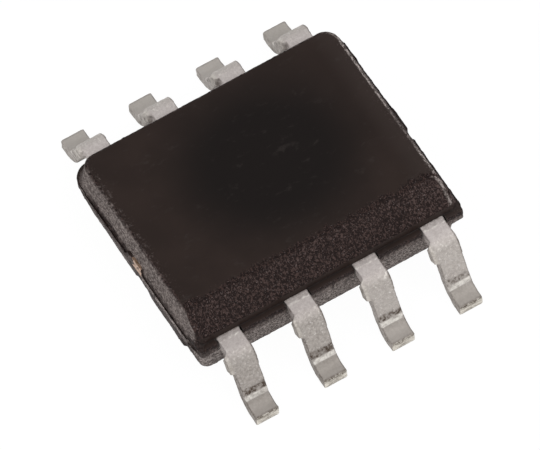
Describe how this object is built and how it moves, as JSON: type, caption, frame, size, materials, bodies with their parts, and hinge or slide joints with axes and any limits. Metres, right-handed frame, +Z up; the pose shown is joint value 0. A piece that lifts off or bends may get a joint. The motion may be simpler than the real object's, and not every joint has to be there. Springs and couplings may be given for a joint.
{
  "type": "eeprom chip",
  "caption": "Small-outline surface-mount memory chip: a bevelled black moulded body with two rows of gull-wing leads, and its die, paddle and bond wires inside.",
  "frame": {"origin": "on the seating plane under the middle of the package", "axes": "+X along the lead rows, +Y across them away from the bevelled edge, +Z up out of the board"},
  "size_m": [0.005, 0.0062, 0.0015],
  "materials": {
    "mould_compound": "black epoxy moulding compound, smooth matt top, spark-eroded grain on the bevel, sides and ends",
    "tin_plate": "matt tin plate, slightly mottled",
    "frame_copper": "bare copper alloy",
    "die_adhesive": "silver-filled epoxy",
    "silicon": "polished silicon",
    "gold_wire": "drawn gold wire"
  },
  "bodies": {
    "root": {"body": "mould_compound", "lead_1": "tin_plate", "lead_2": "tin_plate", "lead_3": "tin_plate", "lead_4": "tin_plate", "lead_5": "tin_plate", "lead_6": "tin_plate", "lead_7": "tin_plate", "lead_8": "tin_plate", "die_paddle": "frame_copper", "die_attach": "die_adhesive", "die": "silicon", "bond_wire_1": "gold_wire", "bond_wire_2": "gold_wire", "bond_wire_3": "gold_wire", "bond_wire_4": "gold_wire", "bond_wire_5": "gold_wire", "bond_wire_6": "gold_wire", "bond_wire_7": "gold_wire", "bond_wire_8": "gold_wire"}
  },
  "joints": []
}
